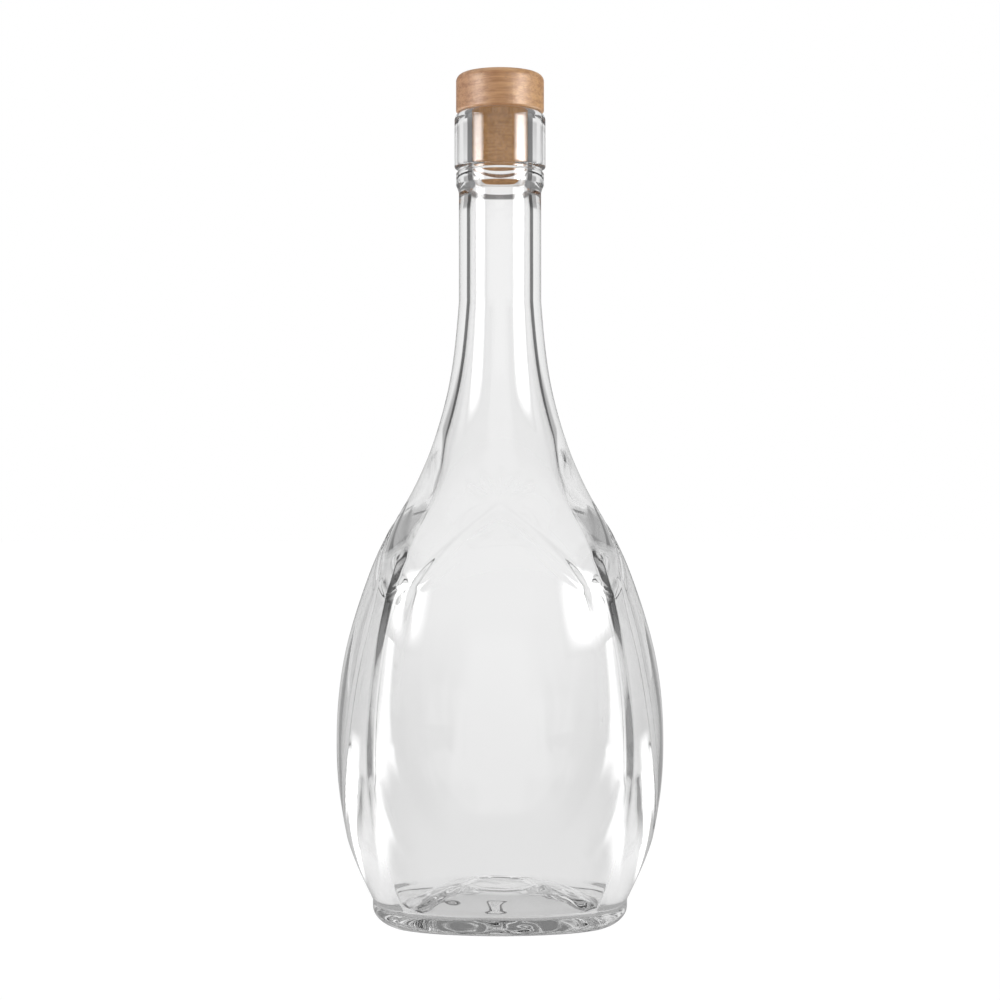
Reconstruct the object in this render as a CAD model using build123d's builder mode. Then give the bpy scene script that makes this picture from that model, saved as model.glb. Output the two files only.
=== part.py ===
"""A clear glass bottle with a long neck and a pear-shaped body, shut by a wooden bar-top stopper.

The body is round at the shoulder and a soft square at the foot. Four bulging panels, one on each
side, are cut into it. Each rises to a pointed arch under the neck and holds a shallow almond
recess, so that the arch has a double line. Millimetres, +Z up, origin on the table, on the axis.
"""

from build123d import *

import os

os.makedirs("parts", exist_ok=True)

sides = 4

# Body of the bottle
body_half_width = 54.9
corner_swell = 4.4
base_taper = 12.7
base_corner_swell = 3.8
widest_height = 56.0
base_band_height = 5.5
foot_rounding = 4.0
panel_axis_offset = 25.1
body_wall = 4.2

# Neck and finish
neck_radius = 13.7
neck_start_height = 203.0
neck_length = 36.5
neck_wall = 3.65
neck_rounding = 2.0
bead_radius = 14.6
bead_flare_height = 2.3
bead_height = 4.0
bead_rounding = 0.7
groove_radius = 14.2
groove_height = 0.8
groove_slope_height = 0.5
collar_radius = 15.15
collar_height = 18.4
collar_rounding = 0.7
lip_rounding = 2.6

# Bore of the neck
bore_depth = 22.5
bore_run_out = 9.0
mouth_rounding = 0.8

# Floor and underside
floor_height = 6.0
floor_rise = 7.5
floor_rounding = 6.0
floor_ring_width = 7.0
bearing_width = 6.5
push_up_height = 8.5
push_up_top_radius = 8.3

# Almond recess in each panel
recess_depth = 0.7
recess_margin = 2.5
recess_top_gap = 3.5
recess_bottom_height = 14.0

# Stopper
shank_radius = 9.2
shank_depth = 18.3
shank_chamfer = 1.0
bore_clearance = 0.05
head_radius = 14.65
head_height = 12.7
head_top_rounding = 2.4
head_foot_chamfer = 0.5
socket_depth = 5.0
socket_clearance = 0.05
glue_thickness = 0.4

overrun = 20.0

# Height from the foot band to the widest level, and swell from the base to the widest half width
panel_lower_shares = [(0, 0), (0.228, 0.425), (0.491, 0.778)]
corner_lower_shares = [(0, 0), (0.287, 0.472), (0.6, 0.83)]

# Height from the widest level to the neck, and width from the neck to the widest half width
panel_upper_shares = [(0, 1), (0.211, 0.929), (0.347, 0.787), (0.483, 0.573), (0.551, 0.422), (0.66, 0.305)]
corner_upper_shares = [(0, 1), (0.231, 0.913), (0.391, 0.755), (0.48, 0.571), (0.578, 0.336)]
corner_upper_shares += [(0.687, 0.181), (0.823, 0.065), (1, 0)]

# Height from the widest level to the neck at which the panels end in a pointed arch
arch_top_share = 0.578

# One side of the almond: height from its lower to its upper tip, and share of its half width
almond_shares = [(0, 0), (0.141, 0.52), (0.338, 0.87), (0.56, 1), (0.735, 0.87), (0.9, 0.42), (1, 0)]

corner_radius = body_half_width + corner_swell
base_half_width = body_half_width - base_taper
base_corner_radius = base_half_width + base_corner_swell
# Profiles stand on a corner's plane, or behind a panel, so that no seam runs through a panel
corner_plane = Plane(origin=(0, 0, 0), x_dir=(1, 1, 0), z_dir=(1, -1, 0))
panel_plane = Plane(origin=(-panel_axis_offset, 0, 0), x_dir=(-1, 0, 0), z_dir=(0, 1, 0))
bore_radius = shank_radius + bore_clearance
neck_bore_radius = neck_radius - neck_wall
neck_end_height = neck_start_height + neck_length
bead_start_height = neck_end_height + bead_flare_height
groove_start_height = bead_start_height + bead_height + groove_slope_height
collar_start_height = groove_start_height + groove_height + groove_slope_height
glass_height = collar_start_height + collar_height
shank_foot_height = glass_height - shank_depth
socket_top_height = glass_height + socket_depth


def wall_points(lower_shares, upper_shares, start_height, base, widest, neck):
    """Points of a wall's outline, from its foot over the widest level to the neck."""
    swell = widest_height - start_height
    taper = neck_start_height - widest_height
    points = []
    for height, width in lower_shares:
        points.append((base + width * (widest - base), start_height + height * swell))
    for height, width in upper_shares:
        points.append((neck + width * (widest - neck), widest_height + height * taper))
    return points


def panel_solid(points):
    """A solid bounded by one bulging panel, turned about an axis behind the bottle's own."""
    points = [(panel_axis_offset + width, height) for width, height in points]
    first, last = points[0], points[-1]
    top = glass_height + overrun
    with BuildPart() as solid:
        with BuildSketch(panel_plane):
            with BuildLine():
                Spline(*points)
                Polyline(last, (last[0], top), (0, top), (0, -overrun), (first[0], -overrun), first)
            make_face()
        revolve(axis=Axis(panel_plane.origin, (0, 0, 1)))
    return solid.part


def turned(solid, side):
    """The same solid on one of the four sides."""
    return solid.rotate(Axis.Z, side * 360 / sides)


# Walls of the glass outside, at the corners and in the middle of the panels
corner_points = wall_points(
    corner_lower_shares,
    corner_upper_shares,
    base_band_height,
    base_corner_radius,
    corner_radius,
    neck_radius,
)
panel_points = wall_points(
    panel_lower_shares,
    panel_upper_shares,
    base_band_height,
    base_half_width,
    body_half_width,
    neck_radius,
)
panel = panel_solid(panel_points)

# The same walls inside, one wall further in
inner_corner_points = wall_points(
    corner_lower_shares,
    corner_upper_shares,
    floor_height,
    base_corner_radius - body_wall,
    corner_radius - body_wall,
    neck_bore_radius,
)
inner_panel_points = wall_points(
    panel_lower_shares,
    panel_upper_shares,
    floor_height,
    base_half_width - body_wall,
    body_half_width - body_wall,
    neck_bore_radius,
)
inner_panel = panel_solid(inner_panel_points)

# The ridge between a panel and a round corner, at the widest level
panel_bulge_radius = body_half_width + panel_axis_offset
ridge_cosine = panel_bulge_radius**2 - corner_radius**2 - panel_axis_offset**2
ridge_cosine /= 2 * panel_axis_offset * corner_radius
ridge_half_width = corner_radius * (1 - ridge_cosine**2) ** 0.5

# Glass that is taken away in the almond of one panel
recess_half_width = ridge_half_width - recess_margin
recess_top_height = widest_height + arch_top_share * (neck_start_height - widest_height) - recess_top_gap
recess_length = recess_top_height - recess_bottom_height
almond_points = [
    (width * recess_half_width, recess_bottom_height + height * recess_length)
    for height, width in almond_shares
]
with BuildPart() as almond_recess:
    with BuildSketch(Plane.YZ):
        with BuildLine():
            almond_edge = Spline(*almond_points)
            mirror(almond_edge, about=Plane.YZ)
        make_face()
    extrude(amount=body_half_width + overrun)
    add(panel_solid([(width - recess_depth, height) for width, height in panel_points]), mode=Mode.SUBTRACT)

# Space inside the glass: body and floor, neck, and the bore that the shank fills
with BuildPart() as cavity:
    with BuildSketch(corner_plane):
        with BuildLine():
            inner_wall = Spline(*inner_corner_points)
            neck_top = (neck_bore_radius, glass_height - bore_depth - bore_run_out)
            bore_foot = (bore_radius, glass_height - bore_depth)
            mouth_foot = (bore_radius, glass_height - mouth_rounding)
            mouth_edge = (bore_radius + mouth_rounding, glass_height)
            Polyline(inner_wall @ 1, neck_top, bore_foot, mouth_foot)
            RadiusArc(mouth_foot, mouth_edge, mouth_rounding)
            above = glass_height + overrun
            floor_edge = inner_wall @ 0
            Polyline(mouth_edge, (mouth_edge[0], above), (0, above), (0, floor_height), floor_edge)
        make_face()
    revolve()
    for side in range(sides):
        add(turned(inner_panel, side), mode=Mode.INTERSECT)
    fillet(cavity.edges().group_by(Axis.Z)[0], radius=floor_rounding)
    with BuildSketch(corner_plane):
        with BuildLine():
            floor_top = (0, floor_height + floor_rise)
            floor_ring = (base_half_width - body_wall - floor_ring_width, floor_height)
            TangentArc(floor_top, floor_ring, tangent=(1, 0))
            Polyline(floor_ring, (floor_ring[0], 0), (0, 0), floor_top)
        make_face()
    revolve(mode=Mode.SUBTRACT)

with BuildPart() as glass_bottle:
    with BuildSketch(corner_plane):
        with BuildLine():
            outer_wall = Spline(*corner_points)
            Polyline(outer_wall @ 0, (base_corner_radius, 0), (0, 0), (0, glass_height))
            FilletPolyline(
                (0, glass_height),
                (collar_radius, glass_height),
                (collar_radius, collar_start_height),
                (groove_radius, groove_start_height + groove_height),
                (groove_radius, groove_start_height),
                (bead_radius, bead_start_height + bead_height),
                (bead_radius, bead_start_height),
                (neck_radius, neck_end_height),
                outer_wall @ 1,
                radius=[lip_rounding, collar_rounding, 0, 0, bead_rounding, bead_rounding, neck_rounding],
            )
        make_face()
    revolve()
    for side in range(sides):
        add(turned(panel, side), mode=Mode.INTERSECT)
    fillet(glass_bottle.edges().group_by(Axis.Z)[0], radius=foot_rounding)
    for side in range(sides):
        add(turned(almond_recess.part, side), mode=Mode.SUBTRACT)
    with BuildSketch(corner_plane):
        with BuildLine():
            bearing_edge = (base_half_width - foot_rounding - bearing_width, 0)
            push_up_edge = (push_up_top_radius, push_up_height)
            TangentArc(push_up_edge, bearing_edge, tangent=(1, 0))
            Polyline(push_up_edge, (0, push_up_height), (0, 0), bearing_edge)
        make_face()
    revolve(mode=Mode.SUBTRACT)
    add(cavity.part, mode=Mode.SUBTRACT)
glass_bottle.part.label = "glass_bottle"
export_step(glass_bottle.part, "parts/glass_bottle.step")

# Turned wooden head of the stopper, hollowed below for the shank
with BuildPart() as stopper_head:
    with BuildSketch(Plane.XY.offset(glass_height)):
        Circle(head_radius)
    extrude(amount=head_height)
    fillet(stopper_head.edges().group_by(Axis.Z)[-1], radius=head_top_rounding)
    chamfer(stopper_head.edges().group_by(Axis.Z)[0], length=head_foot_chamfer)
    with BuildSketch(Plane.XY.offset(glass_height)):
        Circle(shank_radius + socket_clearance)
    extrude(amount=socket_depth, mode=Mode.SUBTRACT)
stopper_head.part.label = "stopper_head"
export_step(stopper_head.part, "parts/stopper_head.step")

# Cork shank that fills the bore, glued into the head
with BuildPart() as cork_shank:
    with BuildSketch(Plane.XY.offset(shank_foot_height)):
        Circle(shank_radius)
    extrude(amount=socket_top_height - glue_thickness - shank_foot_height)
    chamfer(cork_shank.edges().group_by(Axis.Z)[0], length=shank_chamfer)
cork_shank.part.label = "cork_shank"
export_step(cork_shank.part, "parts/cork_shank.step")

# Film of glue between the shank's top and the roof of the head's socket
with BuildPart() as glue_film:
    with BuildSketch(Plane.XY.offset(socket_top_height - glue_thickness)):
        Circle(shank_radius + socket_clearance)
    extrude(amount=glue_thickness)
glue_film.part.label = "glue_film"
export_step(glue_film.part, "parts/glue_film.step")
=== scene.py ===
import math

import bpy
import numpy as np
from mathutils import Matrix, Vector


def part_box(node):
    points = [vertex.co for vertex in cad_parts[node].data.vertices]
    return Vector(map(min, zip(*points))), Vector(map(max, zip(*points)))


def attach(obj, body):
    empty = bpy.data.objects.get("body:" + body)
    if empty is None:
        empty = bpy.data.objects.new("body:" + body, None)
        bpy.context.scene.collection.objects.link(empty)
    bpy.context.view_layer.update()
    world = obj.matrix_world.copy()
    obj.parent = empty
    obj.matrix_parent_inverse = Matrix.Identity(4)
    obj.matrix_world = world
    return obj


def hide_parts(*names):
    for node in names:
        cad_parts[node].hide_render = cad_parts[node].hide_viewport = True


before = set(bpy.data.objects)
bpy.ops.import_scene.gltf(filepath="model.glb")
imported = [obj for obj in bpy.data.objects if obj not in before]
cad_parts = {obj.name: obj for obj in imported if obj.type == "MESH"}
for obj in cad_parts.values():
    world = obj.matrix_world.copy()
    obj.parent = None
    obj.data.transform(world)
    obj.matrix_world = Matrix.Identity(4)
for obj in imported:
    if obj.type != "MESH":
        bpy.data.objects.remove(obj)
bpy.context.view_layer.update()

mm = 0.001
degree = math.pi / 180
sides = 4
white = (1, 1, 1)

# Body of the bottle, its panels a little narrower than the solid's so that it stays in its box
body_half_width = 54.84 * mm
corner_radius = 59.3 * mm
base_half_width = 42.2 * mm
base_corner_radius = 46.0 * mm
widest_height = 56.0 * mm
base_band_height = 5.5 * mm
foot_rounding = 2.8 * mm
panel_bulge_radius = 80.0 * mm
body_wall = 4.2 * mm
# Height from the foot band to the widest level, and swell from the base to the widest half width
panel_lower_shares = [(0, 0), (0.228, 0.425), (0.491, 0.778)]
corner_lower_shares = [(0, 0), (0.287, 0.472), (0.6, 0.83)]
# Height from the widest level to the neck, and width from the neck to the widest half width
panel_upper_shares = [(0, 1), (0.211, 0.929), (0.347, 0.787), (0.483, 0.573)]
panel_upper_shares += [(0.551, 0.422), (0.66, 0.305)]
corner_upper_shares = [(0, 1), (0.231, 0.913), (0.391, 0.755), (0.48, 0.571), (0.578, 0.336)]
corner_upper_shares += [(0.687, 0.181), (0.823, 0.065), (1, 0)]

# Neck and finish
neck_radius = 13.7 * mm
neck_start_height = 203.0 * mm
neck_end_height = 239.5 * mm
neck_wall = 3.65 * mm
neck_rounding = 4.0 * mm
bead_radius = 14.6 * mm
bead_flare_height = 2.3 * mm
bead_height = 4.0 * mm
bead_rounding = 0.7 * mm
groove_radius = 14.0 * mm
groove_height = 0.8 * mm
groove_slope_height = 0.5 * mm
groove_rounding = 0.2 * mm
collar_radius = 15.15 * mm
collar_rounding = 0.7 * mm
lip_rounding = 2.6 * mm
glass_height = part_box("glass_bottle")[1].z

# Bore of the neck
bore_depth = 22.5 * mm
bore_run_out = 9.0 * mm
mouth_rounding = 0.8 * mm
bore_rounding = 30.0 * mm
bore_clearance = 0.05 * mm

# Floor and underside, each with a flat top that falls in an arc to a level ring
floor_height = 4.5 * mm
floor_rounding = 3.2 * mm
floor_ring_width = 6.0 * mm
floor_top_radius = 13.3 * mm
floor_top_height = 10.3 * mm
bearing_width = 7.7 * mm
push_up_top_radius = 11.0 * mm
push_up_height = 7.8 * mm

# Soft lobes on the underside's arc, one towards each side, and a faint round mark on the floor
lobe_height = 0.8 * mm
lobe_length = 8.0 * mm
mark_radius = 12.0 * mm
mark_height = 0.3 * mm
mark_width = 1.3 * mm

# Almond recess in each panel, with a sharper edge at its tip and fading out at its foot
recess_depth = 0.65 * mm
recess_top_height = 137.5 * mm
recess_bottom_height = 14.0 * mm
recess_half_width = 36.2 * mm
recess_edge_width = 7.0 * mm
recess_tip_edge_width = 2.5 * mm
recess_tip_start = 95.0 * mm
recess_tip_length = 20.0 * mm
recess_fade_start = 22.0 * mm
recess_fade_length = 14.0 * mm
# Height from the lower to the upper tip, and share of the half width
almond_shares = [(0, 0), (0.141, 0.52), (0.338, 0.87), (0.56, 1)]
almond_shares += [(0.735, 0.87), (0.9, 0.42), (1, 0)]

# Softness of the ridges between panels and corners, with more of it inside, below the shoulder
ridge_softness = 2.0 * mm
inner_ridge_softness = 6.0 * mm
inner_ridge_top = 175.0 * mm

# Shallow ribs on both halves of each side, as (points across and up in mm, height, width)
ribs = [
    ([(0, 129.5), (3.5, 127.5), (8, 124.7), (19.3, 114.6), (25, 109.6)], 0.22 * mm, 1.0 * mm),
    ([(30.7, 118.7), (38, 111.3)], 0.3 * mm, 1.2 * mm),
    ([(30.7, 110.7), (37.3, 106)], 0.3 * mm, 1.2 * mm),
    ([(32, 58.5), (29.3, 50), (25, 40), (18.8, 31.4)], 0.2 * mm, 1.9 * mm),
    ([(38.5, 49), (36, 40.3), (29.3, 27.7)], 0.2 * mm, 1.8 * mm),
]
# Fan of ribs at the tip of the arch, in front and behind
fan_foot = (0, 136.5)
fan_tips = [(0, 144.5), (5.2, 143.4), (9.8, 140.6)]
fan_height = 0.24 * mm
fan_width = 0.8 * mm

# Unevenness of moulded glass: waves as (turns, way in mm for a turn, phase, strength)
wall_waves = [(3, 110, 2.1, 0.4), (5, -70, 0.7, 0.35), (2, 190, 4.0, 0.25), (9, 45, 1.3, 0.12)]
base_waves = [(7, 30, 0.4, 0.4), (12, -22, 2.6, 0.3), (17, 26, 5.1, 0.25), (4, -40, 1.9, 0.4)]
base_waves += [(3, 9, 1.0, 0.1), (5, -7, 3.3, 0.08)]
wall_unevenness = 0.22 * mm
floor_unevenness = 0.55 * mm
underside_unevenness = 0.45 * mm
# Within this radius, and a length beyond it, the base is calmer
calm_radius = 19.0 * mm
calm_length = 12.0 * mm

# Stopper
head_foot_chamfer = 0.5 * mm
head_top_rounding = 2.4 * mm
shank_chamfer = 1.0 * mm
edge_rounding = 0.25 * mm
socket_rounding = 0.05 * mm
glue_rounding = 0.15 * mm
stopper_step = 1.0 * mm
stopper_columns = 128

# Fineness of the glass: columns round it, heights of its rows, and rows of its parts
columns = 480
outer_row_height = 0.6 * mm
inner_row_height = 0.9 * mm
curve_points = 600
corner_arc_steps = 8
dome_arc_rows = 50
dome_top_rows = 39
bearing_rows = 4
foot_rows = 12
floor_rounding_rows = 13
floor_ring_rows = 3

shank_low, shank_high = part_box("cork_shank")
head_low, head_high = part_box("stopper_head")
glue_low, glue_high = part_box("glue_film")
shank_radius = shank_high.x
bore_radius = shank_radius + bore_clearance
neck_bore_radius = neck_radius - neck_wall
panel_axis_offset = panel_bulge_radius - body_half_width
bearing_edge = base_half_width - foot_rounding - bearing_width
floor_ring_radius = base_half_width - body_wall - floor_ring_width

azimuths = np.arange(columns) * 2 * math.pi / columns
quarter = 2 * math.pi / sides
side_angles = (azimuths + quarter / 2) % quarter - quarter / 2
side_sines, side_cosines = np.sin(side_angles), np.cos(side_angles)

scene = bpy.context.scene


# Curves and soft steps
def smooth_curve(points):
    """Points along a natural cubic through the given points, spaced by chord length."""
    points = np.array(points, float)
    steps = np.linalg.norm(np.diff(points, axis=0), axis=1)
    places = np.concatenate(([0], np.cumsum(steps)))
    matrix = np.eye(len(points))
    right = np.zeros_like(points)
    slopes = np.diff(points, axis=0) / steps[:, None]
    for i in range(1, len(points) - 1):
        matrix[i, i - 1 : i + 2] = steps[i - 1], 2 * (steps[i - 1] + steps[i]), steps[i]
        right[i] = 3 * (slopes[i] - slopes[i - 1])
    bends = np.linalg.solve(matrix, right)
    along = np.linspace(0, places[-1], curve_points)
    span = np.clip(np.searchsorted(places, along, side="right") - 1, 0, len(steps) - 1)
    t = (along - places[span])[:, None]
    step = steps[span][:, None]
    first = slopes[span] - step * (2 * bends[span] + bends[span + 1]) / 3
    third = (bends[span + 1] - bends[span]) / (3 * step)
    return points[span] + first * t + bends[span] * t**2 + third * t**3


def wall_curve(lower_shares, upper_shares, start_height, base, widest, neck):
    """A wall's outline from its foot to the neck, as (width, height)."""
    swell = widest_height - start_height
    taper = neck_start_height - widest_height
    points = []
    for height, width in lower_shares:
        points.append((base + width * (widest - base), start_height + height * swell))
    for height, width in upper_shares:
        points.append((neck + width * (widest - neck), widest_height + height * taper))
    return smooth_curve(points)


def dome_curve(top, flat_radius, ring, level):
    """From the middle of a flat top down an arc to a ring, as (width, height)."""
    reach, fall = ring - flat_radius, top - level
    arc_radius = (reach**2 + fall**2) / (2 * fall)
    angles = np.linspace(0, math.asin(min(1, reach / arc_radius)), dome_arc_rows)
    arc_widths = flat_radius + arc_radius * np.sin(angles)
    arc = np.stack([arc_widths, top - arc_radius * (1 - np.cos(angles))], -1)
    flat_widths = np.linspace(0, flat_radius, dome_top_rows, endpoint=False)
    flat = np.stack([flat_widths, np.full(dome_top_rows, top)], -1)
    return np.concatenate([flat, arc])


def rounded_path(points, radii):
    """The corners of a (width, height) path rounded off, its two ends kept."""
    points = [np.array(point, float) for point in points]
    path = [points[0]]
    for before, corner, after, radius in zip(points, points[1:], points[2:], radii):
        back = (before - corner) / np.linalg.norm(before - corner)
        onward = (after - corner) / np.linalg.norm(after - corner)
        half_turn = math.acos(np.clip(-back @ onward, -1, 1)) / 2
        reach = radius * math.tan(half_turn)
        start, end = corner + back * reach, corner + onward * reach
        inward = (back + onward) / np.linalg.norm(back + onward)
        centre = corner + inward * radius / math.cos(half_turn)
        for share in np.linspace(0, 1, corner_arc_steps + 1):
            chord = start + (end - start) * share - centre
            path.append(centre + chord / np.linalg.norm(chord) * radius)
    path.append(points[-1])
    return path


def filled_path(path, step):
    """The path with points added so that none are further apart than the step."""
    filled = [path[0]]
    for before, after in zip(path, path[1:]):
        count = max(1, math.ceil(np.linalg.norm(after - before) / step))
        filled += [before + (after - before) * (i + 1) / count for i in range(count)]
    return filled


def shares_between(count):
    """Even shares of a way, without its two ends."""
    return np.arange(1, count + 1) / (count + 1)


def soft_lesser(a, b, softness):
    """The lesser of two lengths, with the edge between them rounded off."""
    share = np.clip(0.5 + 0.5 * (b - a) / softness, 0, 1)
    return b * (1 - share) + a * share - softness * share * (1 - share)


def soft_step(value):
    """0 below 0, 1 above 1 and a smooth rise between."""
    share = np.clip(value, 0, 1)
    return share * share * (3 - 2 * share)


# Walls of the glass
def line_relief(across, heights, points, height, width):
    """A rounded rib along a line, given in millimetres on one half of a side."""
    points = np.array(points, float) * mm
    nearest = np.full(across.shape, np.inf)
    for start, end in zip(points, points[1:]):
        way = end - start
        share = (across - start[0]) * way[0] + (heights - start[1]) * way[1]
        share = np.clip(share / (way @ way), 0, 1)
        away = across - start[0] - share * way[0], heights - start[1] - share * way[1]
        nearest = np.minimum(nearest, np.hypot(*away))
    return height * np.exp(-((nearest / width) ** 2))


def rib_relief(across, heights):
    """The height of the fan and of the other ribs at each place."""
    fan = np.zeros_like(across)
    for tip in fan_tips:
        rib = line_relief(across, heights, [fan_foot, tip], fan_height, fan_width)
        fan = np.maximum(fan, rib)
    relief = fan * (np.abs(np.sin(azimuths)) > math.sin(quarter / 2))
    for points, height, width in ribs:
        relief = relief + line_relief(across, heights, points, height, width)
    return relief


def unevenness(kinds, way):
    """Soft waves round the azimuths that shift with the way along the wall or the base."""
    total = 0
    for turns, pitch, phase, strength in kinds:
        turned = turns * azimuths + 2 * math.pi * way / (pitch * mm) + phase
        total = total + strength * np.sin(turned)
    return total


def wall_parts(heights, inset, start_height, neck_width):
    """Radii of the round corners for each height, and of the panels for each azimuth too."""
    corner = wall_curve(
        corner_lower_shares,
        corner_upper_shares,
        start_height,
        base_corner_radius - inset,
        corner_radius - inset,
        neck_width,
    )
    panel = wall_curve(
        panel_lower_shares,
        panel_upper_shares,
        start_height,
        base_half_width - inset,
        body_half_width - inset,
        neck_width,
    )
    corner_radii = np.interp(heights, corner[:, 1], corner[:, 0])[:, None]
    # Above its last point a panel goes on straight
    panel_rise = (panel[-1, 0] - panel[-2, 0]) / (panel[-1, 1] - panel[-2, 1])
    above = np.maximum(heights - panel[-1, 1], 0) * panel_rise
    panel_widths = (np.interp(heights, panel[:, 1], panel[:, 0]) + above)[:, None]
    reach = np.sqrt((panel_widths + panel_axis_offset) ** 2 - (panel_axis_offset * side_sines) ** 2)
    return corner_radii, reach - panel_axis_offset * side_cosines


def almond_share(heights, across):
    """How far each place lies in the almond, from 0 at its edge to 1."""
    length = recess_top_height - recess_bottom_height
    points = []
    for height, width in almond_shares:
        points.append((width * recess_half_width, recess_bottom_height + height * length))
    almond = smooth_curve(points)
    # Above and below the almond, its half width is given as less than nothing
    half_widths = np.interp(heights, almond[:, 1], almond[:, 0], left=-1, right=-1)[:, None]
    tip = soft_step((heights - recess_tip_start) / recess_tip_length)[:, None]
    edge_widths = recess_edge_width + tip * (recess_tip_edge_width - recess_edge_width)
    fade = soft_step((heights - recess_fade_start) / recess_fade_length)[:, None]
    return soft_step((half_widths - across) / edge_widths) * fade


def outer_wall(heights):
    """Radii of the wall outside, a row for each height and a column for each azimuth."""
    corner_radii, panel_radii = wall_parts(heights, 0, base_band_height, neck_radius)
    recess = recess_depth * almond_share(heights, np.abs(panel_radii * side_sines))
    radii = soft_lesser(panel_radii - recess, corner_radii, ridge_softness)
    levels = np.broadcast_to(heights[:, None], radii.shape)
    return radii + rib_relief(np.abs(radii * side_sines), levels)


def inner_wall(heights):
    """Radii of the wall inside, in the same rows and columns."""
    corner_radii, panel_radii = wall_parts(heights, body_wall, floor_height, neck_bore_radius)
    share = soft_step((inner_ridge_top - heights) / (inner_ridge_top - recess_top_height))
    softness = ridge_softness + share * inner_ridge_softness
    return soft_lesser(panel_radii, corner_radii, softness[:, None])


# Surface of the glass
class Rows:
    """Its rings, from the middle of the underside round to the middle of the floor inside."""

    def __init__(self):
        self.radii, self.heights = [], []

    def add(self, radii, heights):
        """A ring; its radii and heights are one value or one for each azimuth."""
        self.radii.append(np.broadcast_to(radii, columns))
        self.heights.append(np.broadcast_to(heights, columns))


def add_underside(rows):
    """The push-up with its four lobes."""
    curve = dome_curve(push_up_height, push_up_top_radius, bearing_edge, 0)
    for width, height in curve[1:]:
        calm = soft_step((width - calm_radius) / calm_length) * min(1, height / push_up_height)
        sunk = underside_unevenness * calm * unevenness(base_waves, width)
        share = soft_step((bearing_edge - width) / lobe_length)
        share *= soft_step((width - push_up_top_radius) / lobe_length)
        rows.add(width, height + sunk - lobe_height * share * np.cos(sides * azimuths))


def add_outside(rows):
    """The ring that the bottle stands on, the rounding of its foot and its outer wall."""
    foot_radii = outer_wall(np.array([foot_rounding]))[0]
    for share in shares_between(bearing_rows):
        rows.add(bearing_edge + share * (foot_radii - foot_rounding - bearing_edge), 0)
    for angle in np.linspace(0, math.pi / 2, foot_rows, endpoint=False):
        inward, upward = 1 - math.sin(angle), 1 - math.cos(angle)
        rows.add(foot_radii - foot_rounding * inward, foot_rounding * upward)
    heights = np.arange(foot_rounding, neck_start_height, outer_row_height)
    for radii, height in zip(outer_wall(heights), heights):
        rows.add(radii, height)


def add_neck(rows):
    """The neck, bead, groove, collar, mouth and bore."""
    bead_start = neck_end_height + bead_flare_height
    groove_start = bead_start + bead_height + groove_slope_height
    collar_start = groove_start + groove_height + groove_slope_height
    path = rounded_path(
        [
            (neck_radius, neck_start_height),
            (neck_radius, neck_end_height),
            (bead_radius, bead_start),
            (bead_radius, bead_start + bead_height),
            (groove_radius, groove_start),
            (groove_radius, groove_start + groove_height),
            (collar_radius, collar_start),
            (collar_radius, glass_height),
            (bore_radius, glass_height),
            (bore_radius, glass_height - bore_depth),
            (neck_bore_radius, glass_height - bore_depth - bore_run_out),
            (neck_bore_radius, neck_start_height),
        ],
        [
            neck_rounding,
            bead_rounding,
            bead_rounding,
            groove_rounding,
            groove_rounding,
            collar_rounding,
            lip_rounding,
            mouth_rounding,
            bore_rounding,
            bore_rounding,
        ],
    )
    for width, height in filled_path(path, inner_row_height):
        rows.add(width, height)


def add_inside(rows):
    """The inner wall, downwards, and the rounding at its foot."""
    start = floor_height + floor_rounding
    heights = np.arange(neck_start_height - inner_row_height, start, -inner_row_height)
    for radii, height in zip(inner_wall(heights), heights):
        share = soft_step((neck_start_height - height) / (neck_start_height - widest_height))
        rows.add(radii + wall_unevenness * share * unevenness(wall_waves, height), height)
    angles = np.linspace(0, math.pi / 2, floor_rounding_rows + 1)[1:]
    heights = floor_height + floor_rounding * (1 - np.sin(angles))
    for radii, height, angle in zip(inner_wall(heights), heights, angles):
        share = 1 - math.cos(angle)
        sunk = floor_unevenness * share * unevenness(base_waves, floor_rounding * share)
        radii = radii + wall_unevenness * (1 - share) * unevenness(wall_waves, height)
        rows.add(radii - floor_rounding * share, height + sunk)


def add_floor(rows):
    """The level ring of the floor, and its dome with the round mark, inwards."""
    floor_edge = rows.radii[-1]
    for share in shares_between(floor_ring_rows):
        way = floor_rounding + share * floor_ring_width
        sunk = floor_unevenness * unevenness(base_waves, way)
        rows.add(floor_edge + share * (floor_ring_radius - floor_edge), floor_height + sunk)
    curve = dome_curve(floor_top_height, floor_top_radius, floor_ring_radius, floor_height)
    for width, height in curve[:0:-1]:
        way = floor_rounding + floor_ring_width + floor_ring_radius - width
        calm = soft_step((width - calm_radius) / calm_length)
        sunk = floor_unevenness * calm * unevenness(base_waves, way)
        mark = mark_height * math.exp(-(((width - mark_radius) / mark_width) ** 2))
        rows.add(width, height + mark + sunk)


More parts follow.
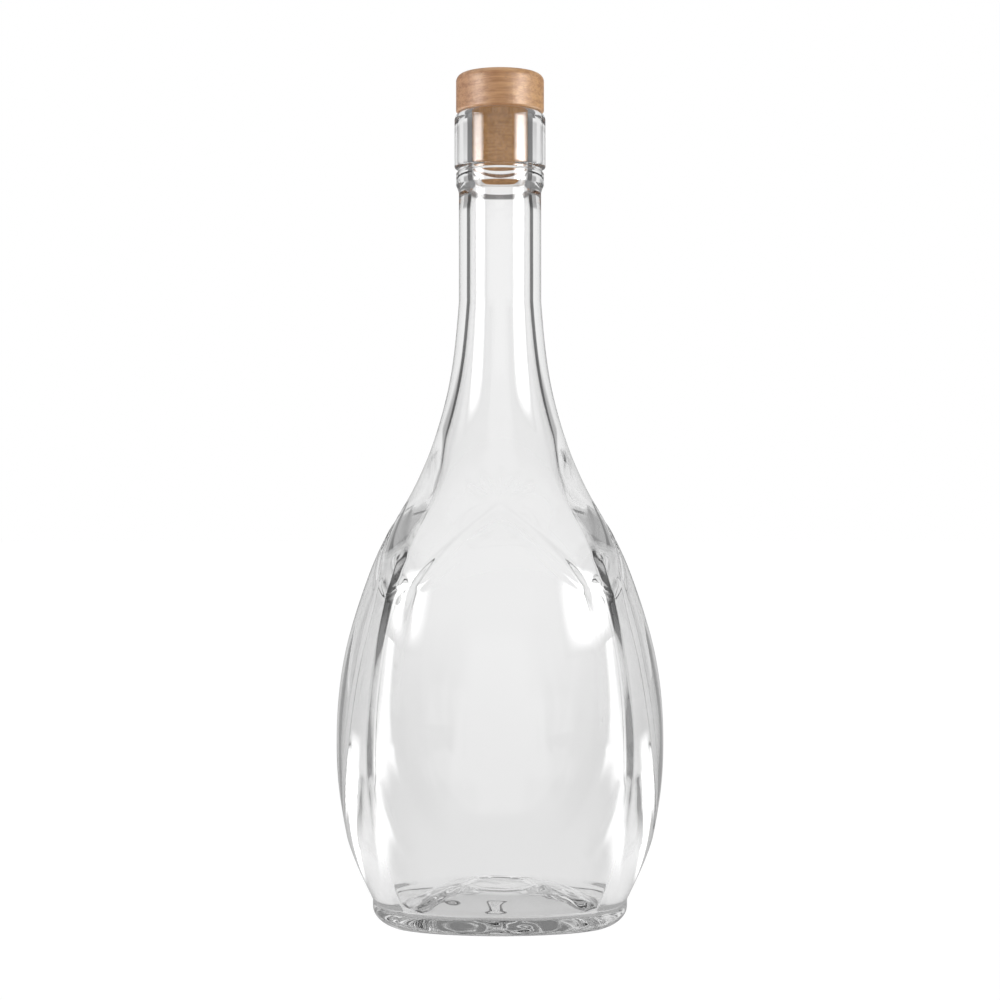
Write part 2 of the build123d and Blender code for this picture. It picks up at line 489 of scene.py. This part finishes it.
def closed_mesh(name, radii, heights, first_height, last_height):
    """A piece whose mesh is made of rings and closed by a point on the axis at each end."""
    rings, count = radii.shape
    turn = np.arange(count) * 2 * math.pi / count
    places = np.stack([radii * np.cos(turn), radii * np.sin(turn), heights], -1)
    ends = [(0, 0, first_height), (0, 0, last_height)]
    vertices = np.concatenate([places.reshape(-1, 3), ends])
    across = np.arange(count)
    onward = (across + 1) % count
    base = np.arange(rings - 1)[:, None] * count
    ring_faces = [base + across, base + onward, base + count + onward, base + count + across]
    quads = np.stack(ring_faces, -1).reshape(-1, 4)
    first_fan = np.stack([np.full(count, rings * count), onward, across], -1)
    last_ring = (rings - 1) * count
    last_end = np.full(count, rings * count + 1)
    last_fan = np.stack([last_end, last_ring + across, last_ring + onward], -1)
    corners = np.concatenate([quads.ravel(), first_fan.ravel(), last_fan.ravel()])
    sizes = np.concatenate([np.full(len(quads), 4), np.full(2 * count, 3)])
    mesh = bpy.data.meshes.new(name)
    mesh.vertices.add(len(vertices))
    mesh.vertices.foreach_set("co", vertices.ravel())
    mesh.loops.add(len(corners))
    mesh.loops.foreach_set("vertex_index", corners)
    mesh.polygons.add(len(sizes))
    mesh.polygons.foreach_set("loop_start", np.concatenate([[0], np.cumsum(sizes)[:-1]]))
    mesh.polygons.foreach_set("use_smooth", np.ones(len(sizes), bool))
    mesh.update(calc_edges=True)
    mesh.validate()
    piece = bpy.data.objects.new(name, mesh)
    scene.collection.objects.link(piece)
    return piece


def turned_piece(name, points, roundings):
    """A solid turned about the axis from a (width, height) path whose ends lie on the axis."""
    path = filled_path(rounded_path(points, roundings), stopper_step)
    inner = np.array(path[1:-1])
    radii = np.repeat(inner[:, :1], stopper_columns, axis=1)
    heights = np.repeat(inner[:, 1:], stopper_columns, axis=1)
    return closed_mesh(name, radii, heights, path[0][1], path[-1][1])


# Node graphs
class Graph:
    """The nodes of one material or of the world."""

    def __init__(self, owner):
        owner.use_nodes = True
        self.nodes, self.links = owner.node_tree.nodes, owner.node_tree.links
        self.nodes.clear()

    def feed(self, socket, value):
        """A socket set to a number or colour, or linked to another node's output."""
        if isinstance(value, bpy.types.NodeSocket):
            self.links.new(value, socket)
        elif isinstance(value, tuple):
            socket.default_value = value if len(socket.default_value) == 3 else (*value, 1)
        else:
            socket.default_value = value

    def node(self, kind, **values):
        """A node with its sockets fed by name, spaces in the names written as underscores."""
        node = self.nodes.new("ShaderNode" + kind)
        for name, value in values.items():
            self.feed(node.inputs[name.replace("_", " ")], value)
        return node

    def math(self, operation, *values):
        """The result of one operation on numbers."""
        node = self.node("Math")
        node.operation = operation
        for value, socket in zip(values, node.inputs):
            self.feed(socket, value)
        return node.outputs[0]

    def times(self, first, second):
        """The product of two numbers."""
        return self.math("MULTIPLY", first, second)

    def swing(self, value, strength, middle):
        """The middle value, raised or lowered as another value is above or below one half."""
        return self.math("MULTIPLY_ADD", self.math("SUBTRACT", value, 0.5), strength, middle)

    def mix(self, share, first, second):
        """Two numbers mixed."""
        return self.node("Mix", Factor=share, A=first, B=second).outputs["Result"]

    def blend(self, share, first, second):
        """Two colours mixed; the node has sockets of its own for them."""
        node = self.node("Mix")
        node.data_type = "RGBA"
        sockets = node.inputs[0], node.inputs[6], node.inputs[7]
        for socket, value in zip(sockets, (share, first, second)):
            self.feed(socket, value)
        return node.outputs[2]

    def layer(self, share, first, second):
        """Two shaders mixed."""
        node = self.node("MixShader")
        for socket, value in zip(node.inputs, (share, first.outputs[0], second.outputs[0])):
            self.feed(socket, value)
        return node

    def step(self, value, start, end, low=0, high=1):
        """A smooth change from low to high between two values."""
        node = self.node("MapRange")
        node.interpolation_type = "SMOOTHSTEP"
        names = "Value", "From Min", "From Max", "To Min", "To Max"
        for name, number in zip(names, (value, start, end, low, high)):
            self.feed(node.inputs[name], number)
        return node.outputs[0]

    def edge(self, value, middle, softness, low=0, high=1):
        """A smooth change from low to high on both sides of one value."""
        return self.step(value, middle - softness, middle + softness, low, high)

    def noise(self, place, cells, detail, roughness, distortion=0):
        """Noise between 0 and 1, with so many cells per metre along each direction."""
        spread = self.node("VectorMath")
        spread.operation = "MULTIPLY"
        self.feed(spread.inputs[0], place)
        self.feed(spread.inputs[1], cells)
        node = self.node(
            "TexNoise",
            Vector=spread.outputs[0],
            Scale=1,
            Detail=detail,
            Roughness=roughness,
            Distortion=distortion,
        )
        return node.outputs[0]

    def cells(self, place, scale, feature, output):
        """One output of a pattern of cells, with so many per metre."""
        node = self.node("TexVoronoi")
        node.feature = feature
        self.feed(node.inputs["Vector"], place)
        self.feed(node.inputs["Scale"], scale)
        return node.outputs[output]

    def bump(self, height, strength, distance):
        """A normal tilted by a relief of heights."""
        return self.node("Bump", Height=height, Strength=strength, Distance=distance).outputs[0]

    def place(self):
        """Object coordinates."""
        return self.node("TexCoord").outputs["Object"]

    def parts(self, place):
        """The three parts of a place."""
        return self.node("SeparateXYZ", Vector=place).outputs[:]

    def radius(self, x, y):
        """Distance from the axis."""
        return self.math("SQRT", self.math("ADD", self.times(x, x), self.times(y, y)))

    def end(self, kind, shader):
        """The graph's output, that of a material or of the world."""
        self.links.new(shader.outputs[0], self.node("Output" + kind).inputs["Surface"])


def material_graph(name):
    """A new material and its graph."""
    material = bpy.data.materials.new(name)
    return material, Graph(material)


# Glass, scuffed where it stands
glass_colour = (0.985, 0.985, 0.985)
glass_index = 1.52
scuff_cells = (900.0, 900.0, 900.0)
scuff_levels = (0.45, 0.7)
scuff_heights = (0.2 * mm, 1.2 * mm)
scuff_roughness = 0.35
ripple_cells = (55.0, 55.0, 38.0)
ripple_strength = 0.5
ripple_depth = 0.08 * mm


def glass_material():
    """Clear flint glass, a little uneven; light and shadow pass it as if it weren't there."""
    material, graph = material_graph("clear_glass")
    place = graph.place()
    height = graph.parts(place)[2]
    scuffs = graph.step(graph.noise(place, scuff_cells, detail=5, roughness=0.7), *scuff_levels)
    foot = graph.times(graph.step(height, *scuff_heights, 1, 0), scuffs)
    ripple = graph.noise(place, ripple_cells, detail=2, roughness=0.4)
    glass = graph.node(
        "BsdfPrincipled",
        Base_Color=glass_colour,
        IOR=glass_index,
        Transmission_Weight=1.0,
        Roughness=graph.times(foot, scuff_roughness),
        Normal=graph.bump(ripple, ripple_strength, ripple_depth),
    )
    path = graph.node("LightPath").outputs
    passed = graph.math("MAXIMUM", path["Is Shadow Ray"], path["Is Diffuse Ray"])
    graph.end("Material", graph.layer(passed, glass, graph.node("BsdfTransparent")))
    return material


# Wood: fibres and growth rings
fibre_cells = (45.0, 900.0, 1500.0)
fibre_contrast = 2.2
fibre_levels = (0.25, 0.75)
fine_fibre_cells = (140.0, 3200.0, 5200.0)
ring_radians_per_metre = 2400.0
ring_sway = 14.0
ring_contrast = 0.11
sway_cells = (25.0, 60.0, 60.0)
wood_mottle_cells = (110.0, 190.0, 190.0)
wood_mottle_contrast = 0.9

# Wood: pale and deep colours, each as on the left and as on the right, where painted light makes
# them a little lighter
painted_light_reach = 14.0 * mm
pale_wood_shaded_and_lit = ((0.57, 0.3, 0.15), (0.6, 0.325, 0.125))
deep_wood_shaded_and_lit = ((0.36, 0.155, 0.062), (0.38, 0.17, 0.052))

# Wood: pores, and the rims where the wax is worn
wood_pore_cells = (220.0, 2600.0, 2600.0)
wood_pore_levels = (0.66, 0.74)
wood_pore_share = 0.55
wood_pore_colour = (0.2, 0.105, 0.05)
rim_radii = (head_high.x - 1.85 * mm, head_high.x - 0.25 * mm)
top_rim_heights = (head_high.z - 2.1 * mm, head_high.z - 0.3 * mm)
foot_rim_heights = (head_low.z + 0.2 * mm, head_low.z + 0.7 * mm)
worn_levels = (0.4, 0.6)
worn_share = 0.35
worn_colour = (0.7, 0.5, 0.34)

# Wood: gloss and relief
wood_index = 1.5
wood_coat = 0.35
wood_coat_roughness = 0.32
wood_roughness = (0.58, 0.4)
fibre_relief = 0.7
fine_fibre_relief = 0.3
wood_pore_relief = 0.6
wood_relief_strength = 0.55
wood_relief_depth = 0.12 * mm


def wood_material():
    """Turned wood with its fibres lying along X, waxed, a little darker in the pores, and painted
    lighter on its right side, as if lit more from there.
    """
    material, graph = material_graph("turned_wood")
    place = graph.place()
    x, y, z = graph.parts(place)
    fibres = graph.noise(place, fibre_cells, detail=6, roughness=0.62, distortion=0.4)
    fine = graph.noise(place, fine_fibre_cells, detail=3, roughness=0.6)
    mottle = graph.noise(place, wood_mottle_cells, detail=3, roughness=0.5)
    sway = graph.noise(place, sway_cells, detail=2, roughness=0.5)
    level = graph.math("MULTIPLY_ADD", z, ring_radians_per_metre, graph.times(sway, ring_sway))
    rings = graph.math("SINE", level)
    tone = graph.swing(fibres, fibre_contrast, 0.5)
    tone = graph.math("MULTIPLY_ADD", rings, ring_contrast, tone)
    tone = graph.step(graph.swing(mottle, wood_mottle_contrast, tone), 0, 1)
    # Painted light: the wood is coloured a little lighter towards the right, as if lit more from
    # that side
    painted_right_light = graph.step(x, -painted_light_reach, painted_light_reach)
    colour = graph.blend(tone, graph.blend(painted_right_light, *deep_wood_shaded_and_lit), graph.blend(painted_right_light, *pale_wood_shaded_and_lit))
    pores = graph.noise(place, wood_pore_cells, detail=2, roughness=0.5)
    pores = graph.step(pores, *wood_pore_levels)
    colour = graph.blend(graph.times(pores, wood_pore_share), colour, wood_pore_colour)
    rim = graph.step(graph.radius(x, y), *rim_radii)
    foot_rim = graph.step(z, *foot_rim_heights, 1, 0)
    edge = graph.math("MAXIMUM", graph.step(z, *top_rim_heights), foot_rim)
    worn = graph.times(graph.times(rim, edge), graph.step(mottle, *worn_levels))
    colour = graph.blend(graph.times(worn, worn_share), colour, worn_colour)
    relief = graph.times(fine, fine_fibre_relief)
    relief = graph.math("MULTIPLY_ADD", fibres, fibre_relief, relief)
    relief = graph.math("SUBTRACT", relief, graph.times(pores, wood_pore_relief))
    wood = graph.node(
        "BsdfPrincipled",
        Base_Color=colour,
        IOR=wood_index,
        Coat_Weight=wood_coat,
        Coat_Roughness=wood_coat_roughness,
        Roughness=graph.step(fibres, *fibre_levels, *wood_roughness),
        Normal=graph.bump(relief, wood_relief_strength, wood_relief_depth),
    )
    graph.end("Material", wood)
    return material


# Cork: granules, mottle and level streaks
granule_cells = 1000.0
granule_share = 0.3
cork_mottle_cells = (420.0, 420.0, 420.0)
cork_mottle_share = 0.7
cork_mottle_levels = (0.3, 0.7)
streak_cells = (130.0, 130.0, 1500.0)
streak_contrast = 0.8
cork_tone_levels = (0.2, 0.8)
deep_cork = (0.3, 0.135, 0.034)
pale_cork = (0.47, 0.235, 0.072)

# Cork: seams between the granules, and pits
seam_widths = (0.02, 0.09)
seam_share = 0.25
seam_colour = (0.2, 0.11, 0.055)
seam_relief = 0.4
pit_cells = (1500.0, 1500.0, 900.0)
pit_levels = (0.66, 0.76)
pit_share = 0.75
pit_colour = (0.11, 0.06, 0.03)

# Cork: gloss and relief
cork_index = 1.45
cork_roughness = (0.92, 0.74)
cork_relief_strength = 0.6
cork_relief_depth = 0.18 * mm


def cork_material():
    """Pressed cork: granules of slightly different browns, faint streaks, seams and small pits."""
    material, graph = material_graph("cork")
    place = graph.place()
    tint = graph.cells(place, granule_cells, "F1", "Color")
    grey = graph.node("RGBToBW", Color=tint).outputs[0]
    mottle = graph.noise(place, cork_mottle_cells, detail=5, roughness=0.6)
    tone = graph.times(mottle, cork_mottle_share)
    tone = graph.math("MULTIPLY_ADD", grey, granule_share, tone)
    streaks = graph.noise(place, streak_cells, detail=3, roughness=0.55)
    tone = graph.step(graph.swing(streaks, streak_contrast, tone), *cork_tone_levels)
    colour = graph.blend(tone, deep_cork, pale_cork)
    seams = graph.cells(place, granule_cells, "DISTANCE_TO_EDGE", "Distance")
    seams = graph.step(seams, *seam_widths, 1, 0)
    colour = graph.blend(graph.times(seams, seam_share), colour, seam_colour)
    pits = graph.step(graph.noise(place, pit_cells, detail=2, roughness=0.5), *pit_levels)
    colour = graph.blend(graph.times(pits, pit_share), colour, pit_colour)
    sunk = graph.math("MULTIPLY_ADD", seams, seam_relief, pits)
    relief = graph.math("SUBTRACT", mottle, sunk)
    cork = graph.node(
        "BsdfPrincipled",
        Base_Color=colour,
        IOR=cork_index,
        Roughness=graph.step(mottle, *cork_mottle_levels, *cork_roughness),
        Normal=graph.bump(relief, cork_relief_strength, cork_relief_depth),
    )
    graph.end("Material", cork)
    return material


# Glue
glue_index = 1.47
glue_roughness = (0.25, 0.5)
cloud_cells = (350.0, 350.0, 350.0)
cloud_levels = (0.3, 0.7)
deep_glue = (0.5, 0.32, 0.12)
pale_glue = (0.68, 0.5, 0.25)
glue_relief_strength = 0.4
glue_relief_depth = 0.1 * mm


def glue_material():
    """Set wood glue: amber, uneven and a little glossy."""
    material, graph = material_graph("glue")
    clouds = graph.noise(graph.place(), cloud_cells, detail=4, roughness=0.55)
    glue = graph.node(
        "BsdfPrincipled",
        Base_Color=graph.blend(clouds, deep_glue, pale_glue),
        IOR=glue_index,
        Roughness=graph.step(clouds, *cloud_levels, *glue_roughness),
        Normal=graph.bump(clouds, glue_relief_strength, glue_relief_depth),
    )
    graph.end("Material", glue)
    return material


def dressed(piece, node, body, material):
    """A finished piece that stands for a node of the frame."""
    piece.data.materials.append(material)
    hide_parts(node)
    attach(piece, body)


# Glass bottle
rows = Rows()
add_underside(rows)
add_outside(rows)
add_neck(rows)
add_inside(rows)
add_floor(rows)
ring_radii, ring_heights = np.array(rows.radii), np.array(rows.heights)
glass = closed_mesh("bottle_glass", ring_radii, ring_heights, push_up_height, floor_top_height)
dressed(glass, "glass_bottle", "bottle", glass_material())

# Wooden head with its socket
socket_radius, socket_top = glue_high.x, glue_high.z
head = turned_piece(
    "wood_head",
    [
        (0, socket_top),
        (socket_radius, socket_top),
        (socket_radius, head_low.z),
        (head_high.x - head_foot_chamfer, head_low.z),
        (head_high.x, head_low.z + head_foot_chamfer),
        (head_high.x, head_high.z),
        (0, head_high.z),
    ],
    [socket_rounding, socket_rounding, edge_rounding, edge_rounding, head_top_rounding],
)
dressed(head, "stopper_head", "stopper", wood_material())

# Cork shank
shank = turned_piece(
    "cork_plug",
    [
        (0, shank_low.z),
        (shank_radius - shank_chamfer, shank_low.z),
        (shank_radius, shank_low.z + shank_chamfer),
        (shank_radius, shank_high.z),
        (0, shank_high.z),
    ],
    [edge_rounding, edge_rounding, socket_rounding],
)
dressed(shank, "cork_shank", "stopper", cork_material())

# Glue between head and shank
glue = turned_piece(
    "glue_disc",
    [
        (0, glue_low.z),
        (socket_radius, glue_low.z),
        (socket_radius, glue_high.z),
        (0, glue_high.z),
    ],
    [glue_rounding, glue_rounding],
)
dressed(glue, "glue_film", "stopper", glue_material())

# Camera
camera_height = 137 * mm
camera_distance = 683 * mm
camera_clip_start = 10 * mm
photo_size = 1000
pixels_per_metre = 3000
camera_data = bpy.data.cameras.new("camera")
camera = bpy.data.objects.new("camera", camera_data)
scene.collection.objects.link(camera)
camera.location = (0, -camera_distance, camera_height)
camera.rotation_euler = (math.pi / 2, 0, 0)
camera_data.sensor_fit = "HORIZONTAL"
camera_data.angle = 2 * math.atan(photo_size / 2 / pixels_per_metre / camera_distance)
camera_data.clip_start = camera_clip_start
scene.camera = camera

# Studio light that the glass sees, in degrees away from straight ahead or straight behind
box_start = 57
box_start_softness = 5
box_end = 72
box_end_softness = 4
dark_band_start = 45
dark_band_end = 67
dark_band_softness = 4
world_inner_start = 45
floor_inner_start = 29
inner_softness = 3

# Its brightness, for reflected rays, for rays through the glass and for inner rays
box_glow = 8.0
side_box_share = 0.15
plain_reflection = 0.35
world_glow = 0.94
floor_through_glow = 0.85
dark_band_glow = 0.85
inner_glow = 0.92
inner_dark_glow = 0.14

# An inner ray and a deep ray have had more reflections in the glass than this
inner_count = 0.5
deep_count = 1.5


def side_turn(graph, x, y):
    """Degrees away from straight ahead or straight behind."""
    turn = graph.times(graph.math("ABSOLUTE", graph.math("ARCTAN2", x, y)), 1 / degree)
    return graph.math("MINIMUM", turn, graph.math("SUBTRACT", 180, turn))


def studio(graph, path, turn, box_level, far, inner_start, glow, inner_level):
    """What the glass sees by reflected rays, and by rays that left it.

    A reflected ray sees a soft box at both sides, and a ray through the glass a dark band there.
    An inner ray, which was reflected inside the glass before it left, sees dark from a turn on.
    """
    box = graph.edge(turn, box_start, box_start_softness)
    box = graph.times(box, graph.edge(turn, box_end, box_end_softness, 1, side_box_share))
    box = graph.times(box, box_level)
    reflected = graph.math("MULTIPLY_ADD", box, box_glow, plain_reflection)
    dark = graph.edge(turn, dark_band_start, dark_band_softness)
    dark = graph.times(dark, graph.edge(turn, dark_band_end, dark_band_softness, 1, 0))
    through = graph.mix(graph.times(dark, far), glow, dark_band_glow)
    inner_dark = graph.times(graph.edge(turn, inner_start, inner_softness), far)
    inner = graph.times(graph.mix(inner_dark, inner_glow, inner_dark_glow), inner_level)
    is_inner = graph.math("GREATER_THAN", path["Glossy Depth"], inner_count)
    return reflected, graph.mix(is_inner, through, inner)


def seen_by_glass(graph, path, reflected, clear):
    """Whether a ray was reflected or refracted, and the brightness that it sees."""
    special = graph.math("MAXIMUM", path["Is Glossy Ray"], path["Is Transmission Ray"])
    return special, graph.mix(path["Is Transmission Ray"], reflected, clear)


def flat_plate(name, corners, material):
    """A plate with four corners."""
    mesh = bpy.data.meshes.new(name)
    mesh.from_pydata(corners, [], [(0, 1, 2, 3)])
    mesh.materials.append(material)
    plate = bpy.data.objects.new(name, mesh)
    scene.collection.objects.link(plate)
    return plate


# Floor, mostly lit by itself; radii are distances from the axis in metres
floor_size = 12.0
paint_colour = (0.9, 0.9, 0.9)
lit_share = 0.9
floor_glow = 1.03
far_radii = (0.06, 0.22)
horizon_radii = (0.15, 1.5)
box_radii = (0.058, 0.1)
behind_start = (-0.02, 0.02)
behind_fade_radii = (0.2, 1.1)
deep_glow = 0.5
deep_radii = (0.12, 0.2)

# Shade under the bottle, deeper for rays that cross fewer walls of glass than foot_walls
shade = 0.75
foot_shade = 0.15
foot_walls = 2.5
shade_radii = (0.025, 0.055)


def floor_material():
    """Pale paint that glows evenly for the camera; what the glass sees of it glows with painted
    soft boxes and dark bands, dimmer near the bottle and with painted shade under it.
    """
    material, graph = material_graph("floor_paint")
    x, y = graph.parts(graph.place())[:2]
    distance = graph.radius(x, y)
    path, turn = graph.node("LightPath").outputs, side_turn(graph, x, y)
    far = graph.step(distance, *far_radii)
    behind = graph.times(graph.step(y, *behind_start), graph.step(distance, *behind_fade_radii))
    not_behind = graph.math("SUBTRACT", 1, behind)
    box_level = graph.times(graph.step(distance, *box_radii), not_behind)
    through_glow = graph.step(distance, *horizon_radii, floor_through_glow, world_glow)
    # Deep rays see the floor darker round the bottle
    deep = graph.math("GREATER_THAN", path["Glossy Depth"], deep_count)
    deep = graph.times(deep, graph.step(distance, *deep_radii, 1, 0))
    inner_level = graph.mix(deep, 1.0, deep_glow)
    # Painted light and shade on the floor for the glass: bright soft boxes, dark bands, darker near
    # the bottle
    reflected, clear = studio(
        graph, path, turn, box_level, far, floor_inner_start, through_glow, inner_level
    )
    in_foot = graph.math("LESS_THAN", path["Transmission Depth"], foot_walls)
    near_shade = graph.mix(in_foot, shade, foot_shade)
    clear = graph.times(clear, graph.step(distance, *shade_radii, near_shade, 1))
    special, seen = seen_by_glass(graph, path, reflected, clear)
    glow = graph.node("Emission", Color=white, Strength=graph.mix(special, floor_glow, seen))
    paint = graph.node("BsdfDiffuse", Color=paint_colour)
    share = graph.times(graph.math("MAXIMUM", special, path["Is Camera Ray"]), lit_share)
    graph.end("Material", graph.layer(share, paint, glow))
    return material


half = floor_size / 2
floor_corners = [(-half, -half, 0), (half, -half, 0), (half, half, 0), (-half, half, 0)]
floor = flat_plate("floor", floor_corners, floor_material())

# Two strip boxes near the neck, seen only in reflections, each between two turns in degrees
strip_distance = 0.35
strip_heights = (0.2, 0.37)
strip_fade = 0.4
strips = [("strip_left", -1, (38, 74), 18.0), ("strip_right", 1, (32, 74), 26.0)]


def strip_material(name, strip_glow):
    """White light that fades towards all four edges of the strip."""
    material, graph = material_graph(name)
    glow = strip_glow
    for part in graph.parts(graph.place())[:2]:
        glow = graph.times(glow, graph.step(part, 0, strip_fade))
        glow = graph.times(glow, graph.step(part, 1 - strip_fade, 1, 1, 0))
    graph.end("Material", graph.node("Emission", Color=white, Strength=glow))
    return material


for name, side, (first_turn, last_turn), strip_glow in strips:
    middle_turn = (first_turn + last_turn) / 2 * degree
    strip_width = 2 * strip_distance * math.tan((last_turn - first_turn) / 2 * degree)
    strip_height = strip_heights[1] - strip_heights[0]
    outward = Vector((side * math.sin(middle_turn), -math.cos(middle_turn), 0))
    along = Vector((side * math.cos(middle_turn), math.sin(middle_turn), 0)) * strip_width
    corner = outward * strip_distance - along / 2 + Vector((0, 0, strip_heights[0]))
    corners = [(0, 0, 0), (1, 0, 0), (1, 1, 0), (0, 1, 0)]
    strip = flat_plate(name, corners, strip_material(name, strip_glow))
    strip.matrix_world = Matrix(
        (
            (along.x, 0, outward.x, corner.x),
            (along.y, 0, outward.y, corner.y),
            (0, strip_height, 0, corner.z),
            (0, 0, 0, 1),
        )
    )
    strip.visible_camera = strip.visible_diffuse = strip.visible_transmission = False
    strip.visible_shadow = strip.visible_volume_scatter = False

# World: the studio's light on the glass, with elevations and turns in degrees
box_top = (25, 33)
box_front = (-0.1, 0.1)
high_start = (20, 29)
high_glow = 0.22
shoulder_rise = (8, 12)
shoulder_turn = (14, 20)
shoulder_glow = 0.45

# World: soft light from the sides and above for wood, cork and floor
front_light = 0.52
left_light = 1.4
right_light = 1.85
top_light = 0.8
side_light_reach = 0.5
side_light_turn = (20, 75)
top_light_rise = (30, 75)

world = bpy.data.worlds.new("studio")
scene.world = world
graph = Graph(world)
x, y, z = graph.parts(graph.node("TexCoord").outputs["Generated"])
elevation = graph.times(graph.math("ARCSINE", z), 1 / degree)
path, turn = graph.node("LightPath").outputs, side_turn(graph, x, y)
# The boxes end above the bottle and stand only in front
box_level = graph.times(graph.step(elevation, *box_top, 1, 0), graph.step(y, *box_front, 1, 0))
# Inner rays that rise to the side are dimmed, which greys the shoulder
shoulder = graph.times(graph.step(elevation, *shoulder_rise), graph.step(turn, *shoulder_turn))
inner_level = graph.mix(shoulder, 1.0, shoulder_glow)
reflected, clear = studio(
    graph, path, turn, box_level, 1, world_inner_start, world_glow, inner_level
)
clear = graph.mix(graph.step(elevation, *high_start), clear, high_glow)
special, seen = seen_by_glass(graph, path, reflected, clear)
side_light = graph.step(x, -side_light_reach, side_light_reach, left_light, right_light)
level_light = graph.mix(graph.step(turn, *side_light_turn), front_light, side_light)
soft = graph.mix(graph.step(elevation, *top_light_rise), level_light, top_light)
# The camera sees white
plain = graph.mix(path["Is Camera Ray"], soft, 1.0)
brightness = graph.mix(special, plain, seen)
graph.end("World", graph.node("Background", Color=white, Strength=brightness))
scene.view_settings.view_transform = "Standard"

# Enough bounces for rays that pass many walls of glass
glass_bounces = 24
mirror_bounces = 12
scene.cycles.max_bounces = glass_bounces
scene.cycles.transmission_bounces = glass_bounces
scene.cycles.glossy_bounces = mirror_bounces
